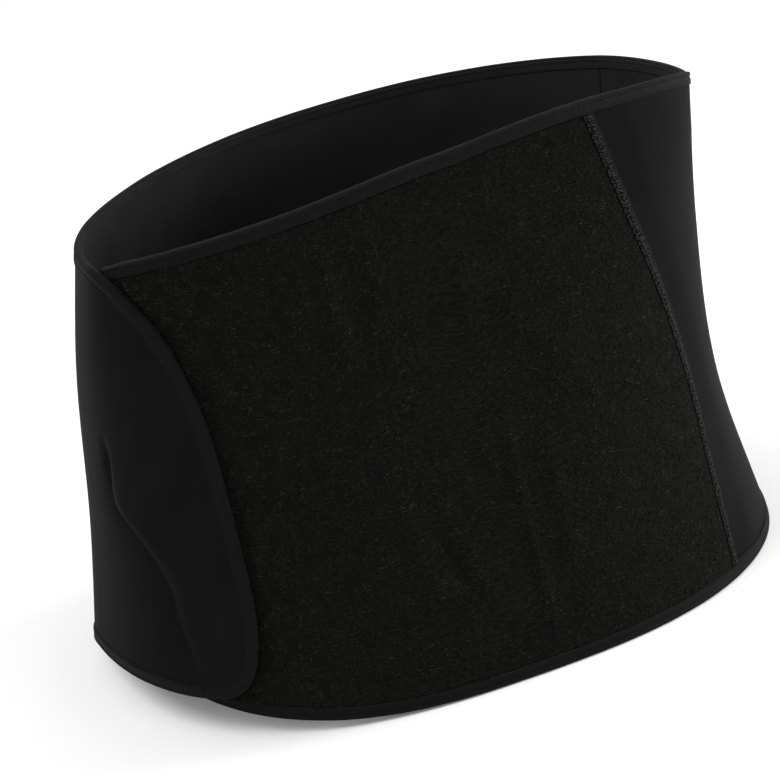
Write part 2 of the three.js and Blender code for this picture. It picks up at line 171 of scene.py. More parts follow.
def formPoint(angle, height, offset):  # the oval's point, moved outwards level along the oval's own normal
    up = height / topEdge(angle)
    along = ovalPoint(angle + form["halfStep"], up) - ovalPoint(angle - form["halfStep"], up)
    outwards = np.stack([along[..., 1], -along[..., 0]], -1)
    outwards /= np.linalg.norm(outwards, axis=-1, keepdims=True)
    flat = ovalPoint(angle, up) + outwards * np.asarray(offset)[..., None]
    return np.concatenate([flat, np.broadcast_to(height, angle.shape)[..., None]], -1)


def arcPerDegree(angle, height):  # metres along the form for one degree at a place
    step = form["halfStep"]
    zero = np.zeros_like(angle)
    return np.linalg.norm(formPoint(angle + step, height, zero) - formPoint(angle - step, height, zero), axis=-1)


def fold(row, angle, height):  # bell across a straight line of the wrap, faded towards the line's two ends
    fromAngle, fromUp, toAngle, toUp, rise, width = row
    up = height / topEdge(angle)
    along = np.clip((up - fromUp) / (toUp - fromUp), 0, 1)
    sideways = (angle - fromAngle - (toAngle - fromAngle) * along) * meanArc
    endways = (up - fromUp - (toUp - fromUp) * along) * form["bodyHeight"]
    fade = relief["foldEnd"] + (1 - relief["foldEnd"]) * np.sin(np.pi * along)
    return rise * fade * np.exp(-(sideways ** 2 + endways ** 2) / width ** 2)


def creaseRise(angle, height):  # sharp valley along a line, a steep flank on its free side up to a broad ridge
    raiseUp = height - closure["flapRaise"]
    up = raiseUp / (topEdge(angle) - closure["flapRaise"])
    end = relief["crease"]["up"][-1]
    middle = closure["flapStart"] + lookUp(relief["crease"], "up", "past", np.clip(up, 0, end))
    past = (angle - middle) * meanArc
    before = -relief["valley"] * np.exp(np.minimum(past, 0) / relief["valleyReach"])
    after = (relief["ridge"] * np.exp(-(past / relief["ridgeReach"]) ** 2)
             - (relief["ridge"] + relief["valley"]) * np.exp(-np.maximum(past, 0) / relief["flankReach"]))
    fade = (ease(*relief["creaseLow"], raiseUp / layers["bindingWidth"])
            * (1 - ease(end - relief["creaseTop"][0], end + relief["creaseTop"][1], up))
            * ease(closure["flapStart"], closure["flapCorner"], angle))
    return fade * np.where(past < 0, before, after)


def softWave(angle, height):  # sum of a few long waves, the same for both layers where the wrap overlaps
    up = height / form["bodyHeight"]
    total = 0
    for turns, halves, phase, rise, share in relief["waves"]:
        total = total + share * np.sin(turns * angle * radians + phase) * np.sin(halves * np.pi * up + rise)
    return relief["waveHeight"] * total


def loopCover(angle, height):  # the loop fabric's thickness and gap, up to the seam and a short ramp after it
    seam = lookUp(seams["loop"], "up", "angle", height / topEdge(angle))
    rampStart = seam + (layers["stripWidth"] + 2 * layers["pieceGap"]) / meanArc
    return underLoop * (1 - ease(rampStart, rampStart + binding["ramp"] / meanArc, angle))


def shapedFace(angle, height):  # how far the foam's outer face stands off the form, its soft waves left out
    above = (underFlap + layers["foam"]) * ease(closure["stepStart"], closure["stepEnd"], angle)
    folds = sum(fold(row, angle, height) for row in relief["folds"])
    return above - loopCover(angle, height) + folds + creaseRise(angle, height)


def foamFace(angle, height):  # the same with its waves
    return shapedFace(angle, height) + softWave(angle, height)


def seamLine(table, distance):  # a seam's angle at a height, moved along the wrap by a distance
    def line(height):
        start = np.full_like(height, table["angle"][0], dtype=float)
        angle = lookUp(table, "up", "angle", np.clip(height / topEdge(start), 0, 1))
        return angle + distance / arcPerDegree(angle, height)
    return line


def upright(angle):
    return lambda height: np.full_like(height, angle, dtype=float)


# The middle of the wrap's bottom line goes where the bottom binding's middle is in the frame
lowest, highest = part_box("bottom_binding")
lineEnd = closure["flapCorner"] + closure["edge"]["reach"][0] * closure["flapReach"] / meanArc
wholeLine = np.linspace(closure["innerEnd"], lineEnd, 2000)
lineHeight = bottomEdge(wholeLine)
ground = formPoint(wholeLine, lineHeight, shapedFace(wholeLine, lineHeight) + sheetInset)
middle = (ground.min(0) + ground.max(0)) / 2
shift = np.array([(lowest.x + highest.x) / 2 - middle[0], (lowest.y + highest.y) / 2 - middle[1], 0])


def wrapPoint(angle, height, over):  # a place on the wrap at a distance over the foam's outer face
    angle, height, over = np.broadcast_arrays(np.asarray(angle, float), height, over)
    return formPoint(angle, height, foamFace(angle, height) + over) + shift


def gridPlaces(startLine, endLine, columns, rows, bottomInset, topInset):
    # columns run evenly from one line to the other, rows evenly from the bottom edge to the top edge
    s, t = np.meshgrid(columns, rows, indexing="ij")
    height = np.full_like(s, form["bodyHeight"] / 2)
    for _ in range(4):  # the angle depends on the height and the height on the angle
        angle = startLine(height) * (1 - s) + endLine(height) * s
        low, high = bottomEdge(angle) + bottomInset, topLine(angle) - topInset
        height = low + (high - low) * t
    return angle, height


def freeEdge(rows):  # cubic through the edge's table, measured along the cloth, with its inward direction
    table = closure["edge"]
    cornerAngle = closure["flapCorner"] + np.array(table["reach"]) * closure["flapReach"] / meanArc
    height = bottomEdge(cornerAngle) + np.array(table["up"]) * (topEdge(cornerAngle) - bottomEdge(cornerAngle))
    points = np.stack([cornerAngle * meanArc, height], -1)
    knots = np.concatenate([[0], np.cumsum(np.sqrt(np.linalg.norm(np.diff(points, axis=0), axis=1)))])
    curve = {"knot": knots, "along": points[:, 0], "height": points[:, 1]}
    fine = np.linspace(0, knots[-1], 4000)
    line = np.stack([lookUp(curve, "knot", "along", fine), lookUp(curve, "knot", "height", fine)], -1)
    length = np.concatenate([[0], np.cumsum(np.linalg.norm(np.diff(line, axis=0), axis=1))])
    share = rows - closure["crowding"] * np.sin(2 * np.pi * rows) / (2 * np.pi)
    along = np.interp(share * length[-1], length, line[:, 0])
    up = np.interp(share * length[-1], length, line[:, 1])
    ahead = np.stack([np.gradient(along), np.gradient(up)], -1)
    ahead /= np.linalg.norm(ahead, axis=1, keepdims=True)
    return along / meanArc, up, np.stack([-ahead[:, 1], ahead[:, 0]], -1)


def flapPlaces(shares, rows):  # columns turn from upright into the line of the free edge
    angle, height, inwards = freeEdge(rows)
    perDegree = arcPerDegree(angle, height)
    edgeAngle = angle + sheetInset * inwards[:, 0] / perDegree
    edgeHeight = height + sheetInset * inwards[:, 1]
    edgeHeight = np.clip(edgeHeight, bottomEdge(edgeAngle) + sheetInset, topEdge(edgeAngle) - sheetInset)
    low = bottomEdge(edgeAngle) + sheetInset
    edgeUp = (edgeHeight - low) / (topEdge(edgeAngle) - sheetInset - low)
    s = shares[:, None]
    places = closure["flapStart"] * (1 - s) + edgeAngle[None, :] * s
    up = rows[None, :] * (1 - s) + edgeUp[None, :] * s
    low = bottomEdge(places) + sheetInset
    return places, low + up * (topEdge(places) - sheetInset - low)


def makeMesh(name, points, faces, uv, sharpAngle=40, caps=None):
    # object at the origin, its place in its mesh, with a cloth UV map; caps are end faces with more corners
    groups = [faces] if caps is None else [faces, caps]
    corners = np.concatenate([group.ravel() for group in groups])
    sizes = np.concatenate([np.full(len(group), group.shape[1]) for group in groups])
    mesh = bpy.data.meshes.new(name)
    mesh.vertices.add(len(points))
    mesh.vertices.foreach_set("co", points.astype(np.float32).ravel())
    mesh.loops.add(len(corners))
    mesh.loops.foreach_set("vertex_index", corners.astype(np.int32))
    mesh.polygons.add(len(sizes))
    mesh.polygons.foreach_set("loop_start", (np.cumsum(sizes) - sizes).astype(np.int32))
    mesh.update(calc_edges=True)
    layer = mesh.uv_layers.new(name="cloth")
    layer.data.foreach_set("uv", uv[corners].astype(np.float32).ravel())
    mesh.shade_smooth()
    mesh.set_sharp_from_angle(angle=sharpAngle * radians)
    piece = bpy.data.objects.new(name, mesh)
    bpy.context.scene.collection.objects.link(piece)
    return piece


def gridFaces(columns, rows, start=0):  # quads of a grid, counter-clockwise seen from outside the wrap
    index = start + np.arange(columns * rows).reshape(columns, rows)
    return np.stack([index[:-1, :-1], index[1:, :-1], index[1:, 1:], index[:-1, 1:]], -1).reshape(-1, 4)


def borderLoop(columns, rows):  # the grid's border, along the bottom, up the last column and back
    index = np.arange(columns * rows).reshape(columns, rows)
    return np.concatenate([index[:-1, 0], index[-1, :-1], index[:0:-1, -1], index[0, :0:-1]])


def sheetSolid(name, angle, height, outer, inner):  # closed sheet: two grids joined by a wall round their border
    columns, rows = angle.shape
    count = columns * rows
    points = np.concatenate([wrapPoint(angle, height, outer).reshape(-1, 3),
                             wrapPoint(angle, height, inner).reshape(-1, 3)])
    uv = np.stack([angle.ravel() * meanArc, height.ravel()], -1)
    front = gridFaces(columns, rows)
    back = gridFaces(columns, rows, count)[:, ::-1]
    border = borderLoop(columns, rows)
    following = np.roll(border, -1)
    wall = np.stack([border, border + count, following + count, following], -1)
    return makeMesh(name, points, np.concatenate([front, back, wall]), np.concatenate([uv, uv]))


def carriedFaces(index):  # quads between rings of points carried along a line, and one face over each end
    following = np.roll(index, -1, axis=-1)
    walls = np.stack([index[..., :-1, :], index[..., 1:, :], following[..., 1:, :], following[..., :-1, :]], -1)
    around = index.shape[-1]
    caps = np.concatenate([index[..., 0, :].reshape(-1, around), index[..., -1, ::-1].reshape(-1, around)])
    return walls.reshape(-1, 4), caps


def makeTubes(name, line, side, radius, sides):  # closed tubes: a ring of points round each point of each row
    count, steps = line.shape[:2]
    ahead = np.gradient(line, axis=1)
    ahead /= np.linalg.norm(ahead, axis=2, keepdims=True) + 1e-12
    across = np.cross(ahead, side)
    across /= np.linalg.norm(across, axis=2, keepdims=True) + 1e-12
    normal = np.cross(across, ahead)
    turn = 2 * np.pi * np.arange(sides) / sides
    radius = np.broadcast_to(radius, (count, steps))[..., None, None]
    ring = np.cos(turn)[:, None] * across[:, :, None, :] + np.sin(turn)[:, None] * normal[:, :, None, :]
    points = (line[:, :, None, :] + radius * ring).reshape(-1, 3)
    faces, caps = carriedFaces(np.arange(count * steps * sides).reshape(count, steps, sides))
    along = np.linspace(0, 1, steps)[None, :, None] * np.ones((count, 1, sides))
    around = (np.arange(sides) / sides)[None, None, :] * np.ones((count, steps, 1))
    return makeMesh(name, points, faces, np.stack([along.ravel(), around.ravel()], -1), 60, caps)


# Materials


def newMaterial(name, base, roughness, specular, sheen, sheenRoughness, sheenTint):
    material = bpy.data.materials.new(name)
    material.use_nodes = True
    shader = material.node_tree.nodes["Principled BSDF"]
    shader.inputs["Base Color"].default_value = (*base, 1)
    shader.inputs["Roughness"].default_value = roughness
    shader.inputs["Specular IOR Level"].default_value = specular
    shader.inputs["Sheen Weight"].default_value = sheen
    shader.inputs["Sheen Roughness"].default_value = sheenRoughness
    shader.inputs["Sheen Tint"].default_value = (*sheenTint, 1)
    return material, shader


def addNode(material, kind, **settings):
    node = material.node_tree.nodes.new(kind)
    for key, value in settings.items():
        if key in node.inputs:
            node.inputs[key].default_value = value
        else:
            setattr(node, key, value)
    return node


def join(material, source, sourceSocket, target, targetSocket):
    material.node_tree.links.new(source.outputs[sourceSocket], target.inputs[targetSocket])


def clothPlace(material, scale):  # the piece's own UV map, in metres along and up the cloth
    place = addNode(material, "ShaderNodeUVMap", uv_map="cloth")
    mapping = addNode(material, "ShaderNodeMapping")
    mapping.inputs["Scale"].default_value = (scale[0], scale[1], 1)
    join(material, place, "UV", mapping, "Vector")
    return mapping


def colourBetween(material, shader, factorNode, factorSocket, dark, light, low=0.0, high=1.0):
    ramp = addNode(material, "ShaderNodeValToRGB")
    ramp.color_ramp.elements[0].position = low
    ramp.color_ramp.elements[0].color = (*dark, 1)
    ramp.color_ramp.elements[1].position = high
    ramp.color_ramp.elements[1].color = (*light, 1)
    join(material, factorNode, factorSocket, ramp, "Fac")
    join(material, ramp, "Color", shader, "Base Color")
    return ramp


def bumpFrom(material, shader, heights, distance, strength=1.0):  # heights: list of (node, socket, share) added together
    total = None
    for node, socket, share in heights:
        scaled = addNode(material, "ShaderNodeMath", operation="MULTIPLY")
        scaled.inputs[1].default_value = share
        join(material, node, socket, scaled, 0)
        if total is None:
            total = scaled
        else:
            added = addNode(material, "ShaderNodeMath", operation="ADD")
            join(material, total, 0, added, 0)
            join(material, scaled, 0, added, 1)
            total = added
    bump = addNode(material, "ShaderNodeBump")
    bump.inputs["Distance"].default_value = distance
    bump.inputs["Strength"].default_value = strength
    join(material, total, 0, bump, "Height")
    join(material, bump, "Normal", shader, "Normal")


def foamMaterial(name, tone):  # smooth knit face of the foam: fine ribs of loops, a faint sheen and cloudy tone
    look = {"dark": (0.85 * tone,) * 3, "light": (1.15 * tone,) * 3, "wale": 0.00055, "course": 0.00045}
    material, shader = newMaterial(name, look["light"], 0.6, 0.010, 0.015, 0.3, (0.62, 0.63, 0.66))
    cloud = addNode(material, "ShaderNodeTexNoise", Scale=1.0, Detail=3.0, Roughness=0.6)
    join(material, clothPlace(material, (28, 22)), "Vector", cloud, "Vector")
    colourBetween(material, shader, cloud, "Fac", look["dark"], look["light"], 0.3, 0.7)
    wale = addNode(material, "ShaderNodeTexWave", wave_type="BANDS", bands_direction="X", Scale=1.0, Distortion=0.4)
    join(material, clothPlace(material, (0.314 / look["wale"], 0.05 / look["wale"])), "Vector", wale, "Vector")
    course = addNode(material, "ShaderNodeTexWave", wave_type="BANDS", bands_direction="Y", Scale=1.0, Distortion=0.6)
    join(material, clothPlace(material, (0.05 / look["course"], 0.314 / look["course"])), "Vector", course, "Vector")
    grain = addNode(material, "ShaderNodeTexNoise", Scale=1.0, Detail=4.0, Roughness=0.6)
    join(material, clothPlace(material, (420, 420)), "Vector", grain, "Vector")
    bumpFrom(material, shader, [(wale, "Fac", 0.5), (course, "Fac", 0.3), (grain, "Fac", 0.9)], 0.00008, 0.6)
    return material


def loopMaterial():  # brushed loop pile: matted curls with pale fibre tips; the gaps between them darker as painted shade
    look = {"dark": (0.0028, 0.0028, 0.0027), "light": (0.0078, 0.0078, 0.0074), "curl": 0.0012, "matted": 0.009}
    material, shader = newMaterial("loopFabric", look["dark"], 0.95, 0.01, 0.005, 0.6, (0.5, 0.5, 0.5))
    mat = addNode(material, "ShaderNodeTexNoise", Scale=1.0, Detail=5.0, Roughness=0.72)
    join(material, clothPlace(material, (0.7 / look["curl"], 1 / look["curl"])), "Vector", mat, "Vector")
    cloud = addNode(material, "ShaderNodeTexNoise", Scale=1.0, Detail=3.0, Roughness=0.6)
    join(material, clothPlace(material, (1 / look["matted"], 0.6 / look["matted"])), "Vector", cloud, "Vector")
    # the mat's height also sets the colour, darker in its low places: painted shade in the gaps
    tone = addNode(material, "ShaderNodeMath", operation="MULTIPLY_ADD")
    tone.inputs[1].default_value = 0.2
    join(material, cloud, "Fac", tone, 0)
    join(material, mat, "Fac", tone, 2)
    curl = addNode(material, "ShaderNodeTexVoronoi", feature="SMOOTH_F1", Scale=1.0)
    bend = addNode(material, "ShaderNodeTexNoise", Scale=1.0, Detail=2.0)
    join(material, clothPlace(material, (600, 600)), "Vector", bend, "Vector")
    place = clothPlace(material, (0.55 / look["curl"], 0.75 / look["curl"]))
    bent = addNode(material, "ShaderNodeVectorMath", operation="MULTIPLY_ADD")
    bent.inputs[1].default_value = (1.6, 1.6, 0)
    join(material, bend, "Color", bent, 0)
    join(material, place, "Vector", bent, 2)
    join(material, bent, "Vector", curl, "Vector")
    colourBetween(material, shader, tone, 0, look["dark"], look["light"], 0.52, 0.84)
    bumpFrom(material, shader, [(mat, "Fac", 0.8), (curl, "Distance", 0.5)], 0.0005, 0.7)
    return material


def fibreMaterial():  # loose pile fibres, paler than the mat under them as painted highlight of fibres catching light, each along its own length
    look = {"dark": (0.0032, 0.0032, 0.0030), "light": (0.0190, 0.0190, 0.0180)}
    material, shader = newMaterial("loopFibre", look["light"], 0.7, 0.03, 0.02, 0.5, (0.7, 0.7, 0.7))
    tone = addNode(material, "ShaderNodeTexNoise", Scale=260.0, Detail=2.0)
    place = addNode(material, "ShaderNodeTexCoord")
    join(material, place, "Object", tone, "Vector")
    colourBetween(material, shader, tone, "Fac", look["dark"], look["light"], 0.46, 0.74)
    return material


def tapeMaterial(name, tone):  # ribbed stretch tape: fine ribs across its length
    look = {"dark": (0.8 * tone,) * 3, "light": (1.2 * tone,) * 3, "rib": 0.0006}
    material, shader = newMaterial(name, look["light"], 0.72, 0.03, 0.03, 0.4, (0.6, 0.6, 0.62))
    cloud = addNode(material, "ShaderNodeTexNoise", Scale=1.0, Detail=4.0, Roughness=0.65)
    join(material, clothPlace(material, (160, 400)), "Vector", cloud, "Vector")
    colourBetween(material, shader, cloud, "Fac", look["dark"], look["light"], 0.3, 0.7)
    rib = addNode(material, "ShaderNodeTexWave", wave_type="BANDS", bands_direction="X", Scale=1.0, Distortion=0.5)
    join(material, clothPlace(material, (0.314 / look["rib"], 20)), "Vector", rib, "Vector")
    grain = addNode(material, "ShaderNodeTexNoise", Scale=1.0, Detail=3.0)
    join(material, clothPlace(material, (900, 900)), "Vector", grain, "Vector")
    bumpFrom(material, shader, [(rib, "Fac", 1.0), (grain, "Fac", 0.8)], 0.00012, 0.7)
    return material


def threadMaterial(name, dark, light):  # twisted thread: slanting plies along each stitch
    material, shader = newMaterial(name, light, 0.6, 0.08, 0.05, 0.5, (0.7, 0.7, 0.72))
    ply = addNode(material, "ShaderNodeTexWave", wave_type="BANDS", bands_direction="DIAGONAL", Scale=3.0, Distortion=0.6)
    join(material, clothPlace(material, (4, 3)), "Vector", ply, "Vector")
    worn = addNode(material, "ShaderNodeTexNoise", Scale=420.0, Detail=2.0)  # patches of paler and darker stitches
    join(material, addNode(material, "ShaderNodeTexCoord"), "Object", worn, "Vector")
    colourBetween(material, shader, worn, "Fac", dark, light, 0.42, 0.68)
    bumpFrom(material, shader, [(ply, "Fac", 1.0)], 0.00006, 0.6)
    return material


def hookMaterial():  # moulded hook tape: rows of small hooks
    material, shader = newMaterial("hookTape", (0.008, 0.008, 0.008), 0.45, 0.3, 0.0, 0.5, (1, 1, 1))
    hooks = addNode(material, "ShaderNodeTexVoronoi", Scale=1.0)
    hooks.inputs["Randomness"].default_value = 0.25
    join(material, clothPlace(material, (800, 800)), "Vector", hooks, "Vector")
    # colour follows the hooks' height, paler on them and darker between them: painted shade
    colourBetween(material, shader, hooks, "Distance", (0.012, 0.012, 0.012), (0.004, 0.004, 0.004), 0.0, 0.6)
    bumpFrom(material, shader, [(hooks, "Distance", -1.0)], 0.0005)
    return material


foamCloth = foamMaterial("foamCloth", 0.0043)
# a lighter copy of the foam cloth for the inner faces: painted light where the inside gets too little
foamInsidePaintedLight = foamMaterial("foamInsidePaintedLight", 0.0165)
loopFabric = loopMaterial()
loopFibre = fibreMaterial()
bindingTape = tapeMaterial("bindingTape", 0.0038)
# a lighter copy of the tape for its inner leg: painted light inside the binder
tapeInsidePaintedLight = tapeMaterial("tapeInsidePaintedLight", 0.0140)
tapeThread = threadMaterial("tapeThread", (0.0020, 0.0020, 0.0020), (0.0042, 0.0042, 0.0043))
overlockThread = threadMaterial("overlockThread", (0.0016, 0.0016, 0.0016), (0.0075, 0.0075, 0.0072))
hookTape = hookMaterial()
print("materials made")


def dress(piece, material, slot, *nodes):  # material, body and the CAD nodes that it stands for; slot is not used
    piece.data.materials.append(material)
    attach(piece, "root")
    if nodes:
        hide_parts(*nodes)
    return piece


def paintLightInside(piece, angle):  # the faces of the inner grid, which come second, take a lighter copy of the foam: painted light for the inside, which the lamps leave too dark
    columns, rows = angle.shape
    count = (columns - 1) * (rows - 1)
    chosen = np.zeros(len(piece.data.polygons), np.int32)
    chosen[count:2 * count] = 1
    piece.data.materials.append(foamInsidePaintedLight)
    piece.data.polygons.foreach_set("material_index", chosen)


def edgeDistance(angle, height):  # how far each place is from the nearest edge, measured along the cloth
    edge = np.concatenate([np.stack([topAngle, topLine(topAngle)], -1),
                           np.stack([edgeAngle, edgeHeight], -1),
                           np.stack([cornerAngle, bottomEdge(cornerAngle)], -1)])
    places = np.stack([angle.ravel() * meanArc, height.ravel()], -1)
    edge = edge * (meanArc, 1)
    return np.concatenate([np.sqrt(((part[:, None] - edge) ** 2).sum(-1).min(1))
                           for part in np.array_split(places, 60)]).reshape(angle.shape)


def pinch(distance):  # the foam is pressed together under the tape
    return binding["pinch"] * (1 - ease(binding["pinchFrom"], binding["pinchTo"], distance))


edgeRows = np.linspace(1, 0, 240)
edgeAngle, edgeHeight, _ = freeEdge(edgeRows)
topAngle = np.linspace(closure["innerEnd"], closure["flapCorner"], 600)
cornerAngle = np.linspace(closure["innerEnd"], edgeAngle[-1], 600)

# Foam panels
panel = {"frontColumns": 250, "backColumns": 215, "flapColumns": 130, "rows": 128, "buttRound": 0.0004}


def roundedButt(distance):  # how far the two faces draw together near the butted seam: a quarter circle
    inside = np.clip(1 - distance / panel["buttRound"], 0, 1)
    return panel["buttRound"] * (1 - np.sqrt(1 - inside * inside))


def crowdedShares(count, width, length, atEnd):  # even shares with a few more close to one end
    fine = np.array([0, 0.05, 0.15, 0.3, 0.5, 0.75]) * width / length
    rest = np.linspace(width / length, 1, count)
    shares = np.concatenate([fine, rest])
    return 1 - shares[::-1] if atEnd else shares


rows = np.linspace(0, 1, panel["rows"])
frontLength = (seams["side"]["angle"][0] - closure["innerEnd"]) * meanArc
backLength = (closure["flapStart"] - seams["side"]["angle"][0]) * meanArc
halfGap = layers["pieceGap"] / 2

columns = crowdedShares(panel["frontColumns"], panel["buttRound"], frontLength, True)
angle, height = gridPlaces(upright(closure["innerEnd"]), seamLine(seams["side"], -halfGap), columns, rows,
                           sheetInset, sheetInset)
pressed = roundedButt((seamLine(seams["side"], 0)(height) - angle) * meanArc) + pinch(edgeDistance(angle, height))
frontPanel = sheetSolid("frontPanel", angle, height, -pressed, -layers["foam"] + pressed)
dress(frontPanel, foamCloth, "foam_cloth", "front_panel")
paintLightInside(frontPanel, angle)

columns = crowdedShares(panel["backColumns"], panel["buttRound"], backLength, False)
backAngle, backHeight = gridPlaces(seamLine(seams["side"], halfGap), upright(closure["flapStart"]), columns, rows,
                                   sheetInset, sheetInset)
flapAngle, flapHeight = flapPlaces(np.linspace(0, 1, panel["flapColumns"])[1:], rows)
angle = np.concatenate([backAngle, flapAngle])
height = np.concatenate([backHeight, flapHeight])
pressed = roundedButt((angle - seamLine(seams["side"], 0)(height)) * meanArc) + pinch(edgeDistance(angle, height))
backPanel = sheetSolid("backPanel", angle, height, -pressed, -layers["foam"] + pressed)
dress(backPanel, foamCloth, "foam_cloth", "back_panel")
paintLightInside(backPanel, angle)
print("foam panels made")

# Loop fabric on the front
loopFront = {"columns": 306, "rows": 134, "edgeRound": 0.0007}


def pillow(angle, height, thickness, edgeRound):  # outer face drawn down near the sheet's own border, a quarter ellipse
    columns, rows = angle.shape
    distance = np.full(angle.shape, 1.0)
    flat = wrapPoint(angle, height, 0)
    for cut in (flat[:1], flat[-1:], flat[:, :1], flat[:, -1:]):
        distance = np.minimum(distance, np.linalg.norm(flat - cut, axis=-1))
    inside = np.clip(1 - distance / edgeRound, 0, 1)
    return thickness * 0.75 * (1 - np.sqrt(1 - inside * inside))


clear = layers["bindingWidth"] + layers["tapeGap"] / 2
columns = np.linspace(0, 1, loopFront["columns"])
columns = np.concatenate([[0, 0.0008], columns[1:-1], [0.9992, 1]])
loopRows = np.linspace(0, 1, loopFront["rows"])
loopRows = np.concatenate([[0, 0.0012, 0.0026], loopRows[1:-1], [0.9974, 0.9988, 1]])
loopAngle, loopHeight = gridPlaces(upright(closure["innerEnd"]), seamLine(seams["loop"], 0), columns, loopRows,
                                   clear, clear)
lowered = pillow(loopAngle, loopHeight, layers["loop"], loopFront["edgeRound"])
loopPanel = sheetSolid("loopPanel", loopAngle, loopHeight, underLoop - lowered, layers["pieceGap"])
dress(loopPanel, loopFabric, "loop_fabric", "loop_panel")
print("loop fabric made")

# Curled fibres that stand out of the pile
pile = {"count": 17400, "from": 192.0, "steps": 5, "sides": 3, "radius": (0.00009, 0.00020),
        "length": (0.0010, 0.0032), "lift": (0.0001, 0.0006), "turn": 2.4, "seed": 41, "pieces": 3,
        "clump": 0.011, "onRidges": 0.45, "shownFrom": 219.0, "shownOver": 0.178}
randomPile = np.random.default_rng(pile["seed"])


def pileCentres():  # spread evenly, then kept by chance where a clumpy field is high or a ridge runs; the pale fibres on the ridges paint highlight along them
    wanted = pile["count"]
    tried = 4 * wanted
    up = randomPile.random(tried)
    angle = pile["from"] + (seams["loop"]["angle"][2] - pile["from"]) * randomPile.random(tried)
    low, high = bottomEdge(angle) + clear, topLine(angle) - clear
    height = low + (high - low) * up
    inside = angle < seamLine(seams["loop"], -0.001)(height)
    inside &= (angle > pile["shownFrom"]) | (height > pile["shownOver"])  # none under the flap
    x, y = angle * meanArc / pile["clump"], height / pile["clump"]
    turns = randomPile.random((14, 3)) * 2 * np.pi
    field = sum(np.sin(x * np.cos(a) * k + y * np.sin(a) * k + b)
                for (a, b, _), k in zip(turns, np.linspace(0.6, 3.2, 14))) / np.sqrt(14)
    # more pale fibres on the rising folds: painted highlight along the ridges
    ridges = sum(fold(row, angle, height) for row in relief["folds"] if row[4] > 0) / 0.001
    chance = 0.2 + 0.6 / (1 + np.exp(-field)) + pile["onRidges"] * ridges
    order = np.argsort(randomPile.random(tried) / np.maximum(chance, 0.01) + 1e9 * ~inside)[:wanted]
    return angle[order][:, None], height[order][:, None]


def pileFibres():  # each fibre: a heading that turns as it goes, and an arch over the cloth that ends in the cloth
    count, steps = pile["count"], pile["steps"]
    t = np.linspace(0, 1, steps)[None, :]
    span = lambda low, high: low + (high - low) * randomPile.random((count, 1))
    angle, height = pileCentres()
    length = span(*pile["length"])
    heading = span(0, 2 * np.pi) + span(-pile["turn"], pile["turn"]) * t + span(-1, 1) * np.sin(np.pi * 2 * t)
    step = length / (steps - 1)
    x = np.cumsum(np.cos(heading) * step, axis=1)
    y = np.cumsum(np.sin(heading) * step, axis=1) * 0.55
    perDegree = arcPerDegree(angle, height)
    lineAngle = angle + x / perDegree
    lineHeight = np.clip(height + y, bottomEdge(lineAngle) + clear, topLine(lineAngle) - clear)
    lift = span(*pile["lift"]) * np.sin(np.pi * t) - 0.00006
    line = wrapPoint(lineAngle, lineHeight, underLoop + lift)
    outward = wrapPoint(lineAngle, lineHeight, underLoop + 0.01) - wrapPoint(lineAngle, lineHeight, underLoop)
    taper = span(*pile["radius"]) * (0.55 + 0.45 * np.sin(np.pi * t))
    return line, outward / np.linalg.norm(outward, axis=-1, keepdims=True), taper


line, outward, taper = pileFibres()
for k, chosen in enumerate(np.array_split(np.arange(pile["count"]), pile["pieces"])):
    piece = makeTubes(f"loopPile{k + 1}", line[chosen], outward[chosen], taper[chosen], pile["sides"])
    dress(piece, loopFibre, "loop_fabric")
print("pile fibres made")

# Tape folded over the edges
tape = {
    "step": 0.0008, "stitch": 0.0031, "stitchIn": 0.0024, "edgeStitchIn": 0.0047, "turnLength": 0.04,
    "pucker": 0.35, "smoothing": 50,
    "ring": (6.0, 5.97, 5.88, 5.7, 5.5, 5.2, 4.9, 4.6, 4.3, 3.9, 3.5, 3.1, 2.8, 2.55, 2.3, 2.05, 1.75, 1.4, 1.0, 0.65,
             0.38, 0.18, 0.06, 0.0),  # millimetres in from the edge
    # faces this far past the outer leg take the lighter tape copy: painted light inside the binder
    "under": (6.0, 3.8, 1.34), "paintedLightFrom": 4,
}


def edgePath(angle, height, towards, turnAt=None):
    # even steps along an edge, with the direction into the sheet and how far in the stitches run
    flat = wrapPoint(angle, height, 0)
    length = np.concatenate([[0], np.cumsum(np.linalg.norm(np.diff(flat, axis=0), axis=1))])
    even = np.linspace(0, length[-1], int(length[-1] / tape["step"]) + 1)
    turned = 0 * even if turnAt is None else ease(-1, 1, (even - length[turnAt]) / tape["turnLength"])
    angle, height = np.interp(even, length, angle), np.interp(even, length, height)
    perDegree = arcPerDegree(angle, height)
    ahead = np.stack([np.gradient(angle) * perDegree, np.gradient(height)], -1)
    for _ in range(tape["smoothing"]):
        ahead[1:-1] = (ahead[:-2] + 2 * ahead[1:-1] + ahead[2:]) / 4
        angle[1:-1] = (angle[:-2] + 2 * angle[1:-1] + angle[2:]) / 4
        height[1:-1] = (height[:-2] + 2 * height[1:-1] + height[2:]) / 4
    ahead /= np.linalg.norm(ahead, axis=1, keepdims=True)
    inwards = towards * np.stack([ahead[:, 1], -ahead[:, 0]], -1)
    stitchIn = tape["stitchIn"] + (tape["edgeStitchIn"] - tape["stitchIn"]) * turned
    return {"length": even, "angle": angle, "height": height, "inX": inwards[:, 0], "inY": inwards[:, 1],
            "perDegree": perDegree, "stitchIn": stitchIn}


def onPath(path, distance, inset):  # the place at a distance along the path and an inset from the edge
    at = {name: np.interp(distance, path["length"], path[name])
          for name in ("angle", "height", "inX", "inY", "perDegree")}
    return at["angle"] + inset * at["inX"] / at["perDegree"], at["height"] + inset * at["inY"]


